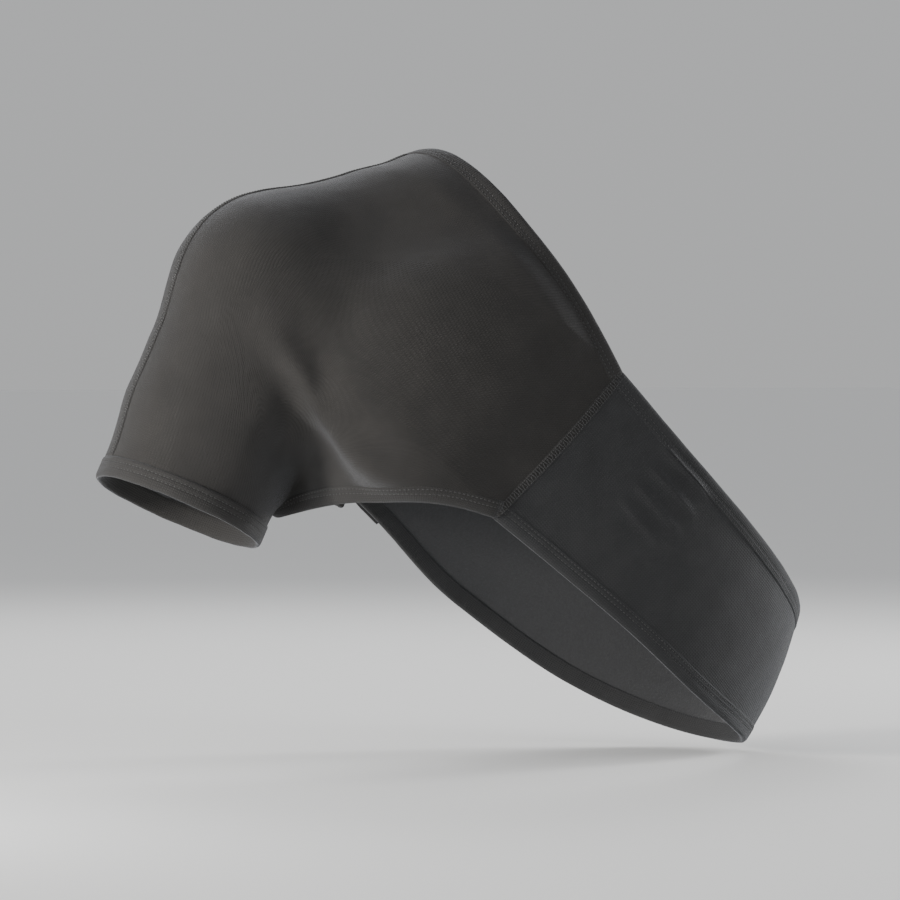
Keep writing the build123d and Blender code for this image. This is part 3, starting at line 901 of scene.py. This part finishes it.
strap_outer, strap_lining = make_strap(strap_grid)
upper_hem = make_hem("strap_upper", strap_grid.points[:, 0], strap_edge, knit_strap_hem)
lower_hem = make_hem("strap_lower", strap_grid.points[:, -1], strap_edge, knit_strap_hem, flip=-1.0)

# ---- Flat seams
# The section: distance from the middle of the seam, height above the cloth.
WELT = [(-2.7, -0.1), (-2.5, 0.22), (-1.9, 0.42), (-1.0, 0.5), (-0.25, 0.4), (0, 0.3)]
WELT = WELT + [(-x, height) for x, height in WELT[-2::-1]]


def make_seam(name, line, base):
    point, side, normal = line_frames(line)
    top = panel_lift(base, point) + FABRIC
    grid = np.stack([point + side * s + normal * (top + h)[:, None] for s, h in WELT], axis=1)
    dress(tube_of(name + "_welt", grid, knit_hem), "wrap", "thread", name)
    threads = point + normal * (top + 0.55)[:, None]
    dress(cover_stitch(name + "_cover_stitch", threads, side, normal), "wrap", "thread")


def make_meridian_seam(name, angle):
    line = meridians(np.array([angle]), 200)[0]
    at = arc_lengths(line)
    places = np.linspace(HEM, at[-1] - 0.4, int(at[-1] / 2.0))
    make_seam(name, resample(line, at, places), fabric_base(turned(angle), at[-1] - places, places))


make_meridian_seam("top_seam", 0.0)
make_meridian_seam("underarm_seam", 180.0)
seam_line = outer_edge(np.linspace(NECK_CORNER + 1.0, STRAP_CORNER - 1.0, 50))
make_seam("strap_seam", seam_line, np.full(len(seam_line), THIN))

# ---- Cuff
# The folded section: distance along the sleeve from where the hem starts, radius.
CUFF_SECTION = [
    (-0.6, 49.6), (-0.35, 50.15), (0.2, 50.5), (1.2, 50.62), (2.3, 50.5), (2.7, 50.3), (3.1, 50.5),
    (4.4, 50.6), (5.6, 50.5), (6.0, 50.32), (6.4, 50.5), (8.0, 50.58), (10.2, 50.5), (11.4, 50.1),
    (12.05, 49.4), (12.15, 48.5), (11.8, 47.6), (11.0, 47.15), (8.0, 47.05), (3.0, 47.05), (0.0, 47.1),
    (-0.5, 47.5), (-0.3, 48.1), (3.0, 48.2), (9.5, 48.3), (10.6, 48.9), (9.6, 49.4), (3.0, 49.4),
]
CUFF_STITCHES = {"a": 2.7, "b": 6.0}
CUFF_STITCH_RADIUS = 50.42


def cuff_ring(turn, along, radius):
    """Points round the sleeve at a distance along it and a radius, and the outward directions."""
    out = np.cos(turn)[:, None] * ARM_ACROSS + np.sin(turn)[:, None] * BACK
    return ARM_AXIS * (SLEEVE_END + along)[:, None] + out * radius[:, None], out


def cuff_puckers(turn):
    return 0.14 * np.sin(5 * turn + 0.4) + 0.08 * np.sin(13 * turn)


def make_cuff():
    turn = np.linspace(0.0, math.tau, 241)[:-1]
    wander = 0.22 * np.sin(3 * turn + 1.0) + 0.12 * np.sin(8 * turn) + 0.06 * np.sin(19 * turn + 2.0)
    loops = []
    for along, radius in CUFF_SECTION:
        outside = smoothstep(radius, 48.5, 50.0)
        far = smoothstep(along, 6.0, 12.0)
        ring = cuff_ring(turn, along - far * (0.25 + wander), radius + outside * cuff_puckers(turn))
        loops.append(ring[0])
    band = tube_of("cuff_band", np.stack(loops, axis=1), knit_hem, closed=True)
    dress(band, "wrap", "binding", "cuff_hem")
    turn = np.linspace(0.0, math.tau, 300)
    for letter, along in CUFF_STITCHES.items():
        p, n = cuff_ring(turn, np.full(len(turn), along), CUFF_STITCH_RADIUS + cuff_puckers(turn))
        dress(stitch_line("cuff_stitch_" + letter, p, n, **HEM_STITCH), "wrap", "binding")


make_cuff()

# ---- Closure
FOLD_FROM = 0.955  # share of the strap's length where the tab piece starts
FOLD_COLUMNS = 22
TAB_WIDTH = 90.0
TAB_ROWS = 57
TAB_COLUMNS = 84
TAB_STITCH_INSET = 4.6
SEWN_COLUMNS = {"a": 7, "b": 9}
RIM_STITCH = {"pitch": 2.4, "share": 0.62, "radius": 0.24}
EVENED = 0.6  # share of the panel's folds that evens out under the tab
HOOK_STEPS = (1.0, 1.15)  # rows and columns of the patch's grid from hook to hook
HOOK_HALF_FOOT = 0.2
HOOK_HALF_TIP = 0.1
HOOK_BEND = 0.22
LABEL_ANGLES = (72.0, 83.0)
LABEL_SPAN = (94.0, 140.0)


def tab_reach(u, reach, start):
    """Start and rounded end of the tab, at places across it from -1 to 1."""
    return [(start, reach * (1.0 - TAB_TIP_ROUNDING * abs(x) ** 4)) for x in u]


def tab_angles(u, inset=0.0):
    middle = -(TAB_ANGLES[0] + TAB_ANGLES[1]) / 2
    half = (TAB_ANGLES[1] - TAB_ANGLES[0]) / 2
    return middle + u * half * (1.0 - 2 * inset / TAB_WIDTH)


def over_panel(cloth, base):
    """Heights above the front panel, which follow its folds only in part."""
    return FABRIC + base + panel_lift(cloth.base, cloth.points) - draped_relief(cloth.points) * EVENED


def joined(strap_part, tab_part):
    """One grid of both, with the strap's part turned to match the tab's rows."""
    return np.concatenate([strap_part[:, ::-1].swapaxes(0, 1), tab_part], axis=1)


def make_tab():
    """The tab, from where it is sewn over the strap's end, across the fold, to its rounded tip."""
    u = np.linspace(-1.0, 1.0, TAB_ROWS)
    ahead = patch_cloth(tab_angles(u), tab_reach(u, TAB_LENGTH, 0.6), TAB_COLUMNS)
    shares = np.linspace(FOLD_FROM, 0.998, FOLD_COLUMNS)
    behind = strap_cloth(shares, TAB_ROWS)
    over = STRAP_FABRIC[1] + strap_relief(behind.points) * 0.5 + 0.95
    settled = smoothstep(shares, 0.976, 0.997)[:, None]
    rise = behind.base + over * (1 - settled) + (THIN + FABRIC + TAB_BASE - STRAP_LIFT) * settled
    points = joined(behind.points, ahead.points)
    normals = joined(behind.normals, ahead.normals)
    low = joined(rise, over_panel(ahead, TAB_BASE))
    for _ in range(3):
        around = low[:-2, 1:-1] + low[2:, 1:-1] + low[1:-1, :-2] + low[1:-1, 2:]
        low[1:-1, 1:-1] = 0.5 * low[1:-1, 1:-1] + 0.125 * around
    across, along = grid_lengths(points)
    border = np.minimum(np.minimum(across, across[-1:] - across), np.minimum(along, along[:, -1:] - along))
    turned_in = 1.0 - smoothstep(border, 5.6, 6.3)
    stitched = np.exp(-((border - TAB_STITCH_INSET) / 0.4) ** 2)
    high = low + TAB_THICKNESS - 0.35 + 0.4 * turned_in - 0.2 * stitched + 0.08 * waves(points, 14.0, 21)
    bottom, top = (points + normals * h[..., None] for h in (low, high))
    flat = np.stack([along, across], axis=-1)
    piece = shell("closure_tab_cloth", bottom, top, flat, knit_strap, rim=4)
    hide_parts("closure_tab")
    return piece, points, normals, top


tab_piece, tab_points, tab_normals, tab_top = make_tab()
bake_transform(tab_piece)


def sampled(grid, i, j):
    """A grid of points read at fractional places."""
    i, j = np.clip(i, 0, grid.shape[0] - 1.001), np.clip(j, 0, grid.shape[1] - 1.001)
    a, b = i.astype(int), j.astype(int)
    s, t = (i - a)[:, None], (j - b)[:, None]
    low = grid[a, b] * (1 - s) + grid[a + 1, b] * s
    return low * (1 - t) + (grid[a, b + 1] * (1 - s) + grid[a + 1, b + 1] * s) * t


def places_inside(distances, inset):
    """Where each row of distances is that far in from its start, and from its end."""
    steps = np.arange(distances.shape[1])
    ends = [[np.interp(x, row, steps) for x in (inset, row[-1] - inset)] for row in distances]
    return np.array(ends).T


def rim_path(points, inset):
    """Grid places of a line that runs round a patch, that far in from its rim."""
    across, along = grid_lengths(points)
    near, far = places_inside(across.T, inset)
    begin, end = places_inside(along, inset)
    column = np.arange(math.ceil(begin[4]) + 1, math.floor(end[4]) - 1)
    row = np.arange(math.ceil(near[-1]) + 1, math.floor(far[-1]))
    i = np.concatenate([near[column], row, far[column][::-1], row[::-1]])
    j = np.concatenate([column, end[row], column[::-1], begin[row][::-1]])
    return np.append(i, i[0]), np.append(j, j[0])


def rim_stitches(name, points, normals, surface, inset):
    i, j = rim_path(points, inset)
    return stitch_line(name, sampled(surface, i, j), sampled(normals, i, j), **RIM_STITCH)


tab_stitches = rim_stitches("closure_tab_stitch", tab_points, tab_normals, tab_top, TAB_STITCH_INSET)
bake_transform(tab_stitches)
for letter, column in SEWN_COLUMNS.items():
    sewn, up = tab_top[6:-6, column], tab_normals[6:-6, column]
    dress(stitch_line("closure_sewn_row_" + letter, sewn, up, **RIM_STITCH), "wrap", "outer_knit")


def make_hooks(rows=41, columns=60):
    """The hook patch under the tab: a woven ground with rows of small hooks."""
    u = np.linspace(-1.0, 1.0, rows)
    spans = tab_reach(u, TAB_LENGTH - TAPE_INSET, HOOK_START)
    cloth = patch_cloth(tab_angles(u, TAPE_INSET), spans, columns)
    low = over_panel(cloth, HOOK_BASE)
    ground = layer("hook_ground", cloth, low + 0.5, low + TAPE, hook_plastic, rim=2)
    dress(ground, "tab", "hook_tape", "hook_patch")
    across = np.arange(2.0, rows - 2.5, HOOK_STEPS[0])
    along = np.arange(2.0, columns - 2.5, HOOK_STEPS[1])
    i, j = (place.ravel() for place in np.meshgrid(across, along, indexing="ij"))
    foot = sampled(cloth.at(low + 0.55), i, j)
    tip = sampled(cloth.at(low + 0.1), i, j)
    lean = sampled(cloth.points, i, j + 0.5) - sampled(cloth.points, i, j)
    lean = lean / np.maximum(length(lean), 1e-6)[:, None]
    side = unit(np.cross(lean, tip - foot))
    corners = [(-1, -1), (1, -1), (1, 1), (-1, 1)]
    ring = [foot + (lean * a + side * b) * HOOK_HALF_FOOT for a, b in corners]
    top = [tip + lean * max(a, 0) * HOOK_BEND + side * b * HOOK_HALF_TIP for a, b in corners]
    vertices = np.stack(ring + top, axis=1).reshape(-1, 3)
    cube = [(0, 1, 2, 3), (7, 6, 5, 4), (0, 4, 5, 1), (1, 5, 6, 2), (2, 6, 7, 3), (3, 7, 4, 0)]
    faces = [tuple(v + 8 * k for v in f) for k in range(len(foot)) for f in cube]
    hooks = new_object("hook_rows", vertices, faces, hook_pin, np.zeros((len(vertices), 2)), smooth=False)
    fix_normals(hooks)
    dress(hooks, "tab", "hook_tape")
    under = cloth.at(low + 0.45)
    dress(rim_stitches("hook_patch_stitch", cloth.points, -cloth.normals, under, 2.6), "tab", "hook_tape")


def make_loops(rows=49, columns=88):
    """The loop patch on the front panel: soft napped tape, sewn round its rim."""
    angles = np.linspace(-TAB_ANGLES[1], -TAB_ANGLES[0], rows)
    cloth = patch_cloth(angles, [LOOP_RANGE] * rows, columns)
    low = FABRIC + panel_lift(cloth.base, cloth.points) + 0.04
    i, j = np.meshgrid(np.arange(rows), np.arange(columns), indexing="ij")
    rim = np.minimum(np.minimum(i, rows - 1 - i) * 1.3, np.minimum(j, columns - 1 - j))
    nap = 0.05 * waves(cloth.points, 11.0, 31) + 0.04 * waves(cloth.points, 2.5, 32)
    sewn_in = 0.2 * np.exp(-((rim - 2.6) / 0.7) ** 2)
    high = low + TAPE - 0.25 + 0.22 * smoothstep(rim, 1.0, 4.0) - sewn_in + nap
    piece = layer("loop_tape_patch", cloth, low, high, loop_cloth)
    dress(piece, "wrap", "loop_tape", "loop_patch")
    over = cloth.at(high + 0.05)
    dress(rim_stitches("loop_patch_stitch", cloth.points, cloth.normals, over, 2.8), "wrap", "loop_tape")


def make_label(rows=36, columns=40):
    """A blank satin care label, sewn to the lining along its top."""
    cloth = patch_cloth(np.linspace(*LABEL_ANGLES, rows), [LABEL_SPAN] * rows, columns)
    ripple = 0.04 * waves(cloth.points, 18.0, 41)
    low, high = 0.06 + ripple, 0.34 + ripple
    piece = layer("blank_care_label", cloth, low, high, label_satin, rim=2)
    dress(piece, "wrap", "label", "care_label")
    sewn = stitch_line("care_label_stitch", cloth.at(low)[:, 3], -cloth.normals[:, 3], 2.2, 0.6, 0.2)
    dress(sewn, "wrap", "label")


def seam_places(line, shares):
    """Points on a meridian between the two ends of a gel pocket's seam."""
    at = arc_lengths(line)
    end = pack_end(at[-1]) - POCKET_SEAM
    return resample(line, at, end + (at[-1] - 2 * end) * np.asarray(shares))


def make_pocket_stitches():
    """The rows of stitches round the gel pockets, on the lining's inner face."""
    lines = meridians(np.linspace(-103.0, 103.0, 260), 120)
    ends = np.array([seam_places(line, [0.0, 1.0]) for line in lines])
    rows = [ends[:, 0], ends[:, 1]]
    for angle in (-POCKET_TURNS[1], -POCKET_TURNS[0], *POCKET_TURNS):
        line = meridians(np.array([angle]), 160)[0]
        rows.append(seam_places(line, np.linspace(0.0, 1.0, 120)))
    for letter, row in zip("abcdef", rows):
        p, n = settle(row, 8)
        piece = stitch_line("pocket_stitch_" + letter, p + n * 0.88, -n, 3.2, 0.6, 0.24)
        dress(piece, "wrap", "lining")


make_hooks()
make_loops()
make_label()
make_pocket_stitches()


# ---- Stage
FLOOR_GAP = 0.004
FLOOR_HALF = 30.0
SKY = [(0.0, (0.6, 0.606, 0.611, 1.0)), (0.45, (0.73, 0.74, 0.76, 1.0))]
SKY_STRENGTH = 0.8
# name: azimuth and elevation in degrees, distance and size in m, power in W, colour
LIGHTS = {
    "key": (-88.0, 9.0, 1.9, 0.5, 47.0, (1.0, 0.97, 0.93)),
    "low_left": (-70.0, -5.0, 0.8, 0.2, 2.7, (0.95, 0.975, 1.0)),
    "fill": (24.0, 20.0, 2.4, 1.4, 11.0, (0.95, 0.97, 1.0)),
    "rim_right": (98.0, 8.0, 1.8, 0.5, 26.0, (1.0, 1.0, 1.0)),
    "rim_back": (165.0, 35.0, 2.0, 0.9, 12.0, (1.0, 1.0, 1.0)),
}
CAMERA = (-25.0, 1.0, 3.2)  # azimuth, elevation, distance
VIEW_WIDTH = 0.52  # metres across at the object
SENSOR = 36.0


def make_floor(height):
    mesh = bpy.data.meshes.new("floor")
    corners = [(x * FLOOR_HALF, y * FLOOR_HALF, height) for x, y in ((-1, -1), (1, -1), (1, 1), (-1, 1))]
    mesh.from_pydata(corners, [], [(0, 1, 2, 3)])
    n = Nodes("pale_floor", Roughness=0.7)
    n.shader.inputs["Base Color"].default_value = (0.78, 0.78, 0.77, 1.0)
    mesh.materials.append(n.material)
    floor = put("floor", mesh)


def make_sky():
    world = bpy.data.worlds.new("studio")
    world.use_nodes = True
    tree = world.node_tree
    up = tree.nodes.new("ShaderNodeSeparateXYZ")
    tree.links.new(tree.nodes.new("ShaderNodeTexCoord").outputs["Generated"], up.inputs[0])
    ramp = tree.nodes.new("ShaderNodeValToRGB")
    for element, (place, color) in zip(ramp.color_ramp.elements, SKY):
        element.position = place
        element.color = color
    tree.links.new(up.outputs[2], ramp.inputs[0])
    tree.links.new(ramp.outputs[0], tree.nodes["Background"].inputs[0])
    tree.nodes["Background"].inputs[1].default_value = SKY_STRENGTH
    bpy.context.scene.world = world


def aimed(name, data, azimuth, elevation, distance):
    """An object that looks at the middle of the wrap from that direction."""
    a, e = math.radians(azimuth), math.radians(elevation)
    away = Vector((math.sin(a) * math.cos(e), -math.cos(a) * math.cos(e), math.sin(e)))
    item = put(name, data)
    item.location = (Vector(cad_box[0]) + Vector(cad_box[1])) / 2 + away * distance
    item.rotation_euler = away.to_track_quat("Z", "Y").to_euler()
    return item


make_floor(cad_box[0][2] - FLOOR_GAP)
make_sky()
for name, (azimuth, elevation, distance, size, power, color) in LIGHTS.items():
    light = bpy.data.lights.new(name, "AREA")
    light.shape = "DISK"
    light.size = size
    light.energy = power
    light.color = color
    aimed(name, light, azimuth, elevation, distance)
camera = bpy.data.cameras.new("camera")
camera.lens = SENSOR * CAMERA[2] / VIEW_WIDTH
camera.sensor_width = SENSOR
bpy.context.scene.camera = aimed("camera", camera, *CAMERA)
